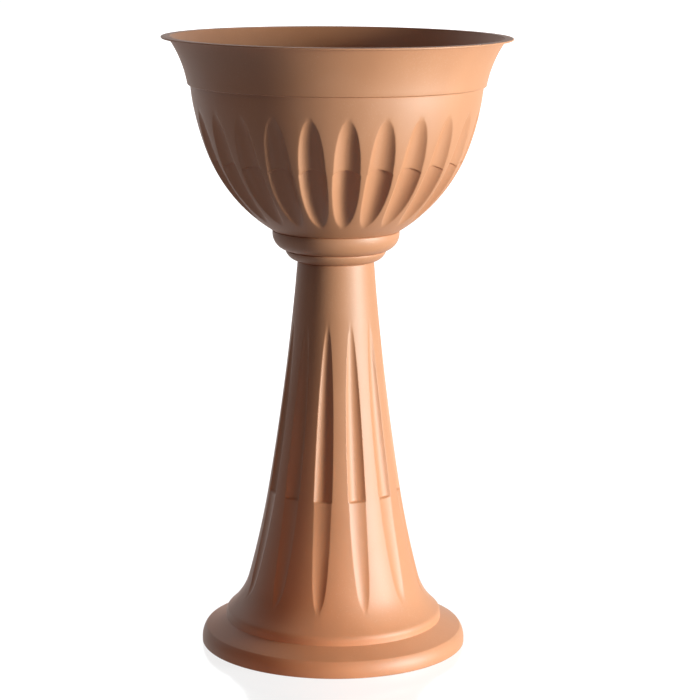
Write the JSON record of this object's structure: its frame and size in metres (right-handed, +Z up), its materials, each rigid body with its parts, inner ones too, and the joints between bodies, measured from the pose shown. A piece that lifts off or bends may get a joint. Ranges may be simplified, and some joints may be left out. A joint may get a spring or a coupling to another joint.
{
  "type": "pedestal planter",
  "caption": "Plastic pedestal planter: a fluted bowl with a flared lip lifts off a fluted, hollow, trumpet-footed column, and a plug closes the bowl's drain hole.",
  "frame": {"origin": "middle of the column's foot, on the ground", "axes": "+Z up along the planter's axis, -Y towards the front view"},
  "size_m": [0.451, 0.451, 0.8],
  "materials": {
    "terracotta_plastic": "satin moulded, solid-coloured polypropylene",
    "plug_plastic": "satin moulded, softer and darker"
  },
  "bodies": {
    "column": {"column": "terracotta_plastic"},
    "bowl": {"bowl": "terracotta_plastic"},
    "drain_plug": {"drain_plug": "plug_plastic"}
  },
  "joints": [
    {"name": "bowl_lift", "type": "slide", "parent": "column", "child": "bowl", "axis": [0, 0, 1], "range_m": [0, 0.06]},
    {"name": "plug_pull", "type": "slide", "parent": "bowl", "child": "drain_plug", "axis": [0, 0, 1], "range_m": [0, 0.03]}
  ]
}
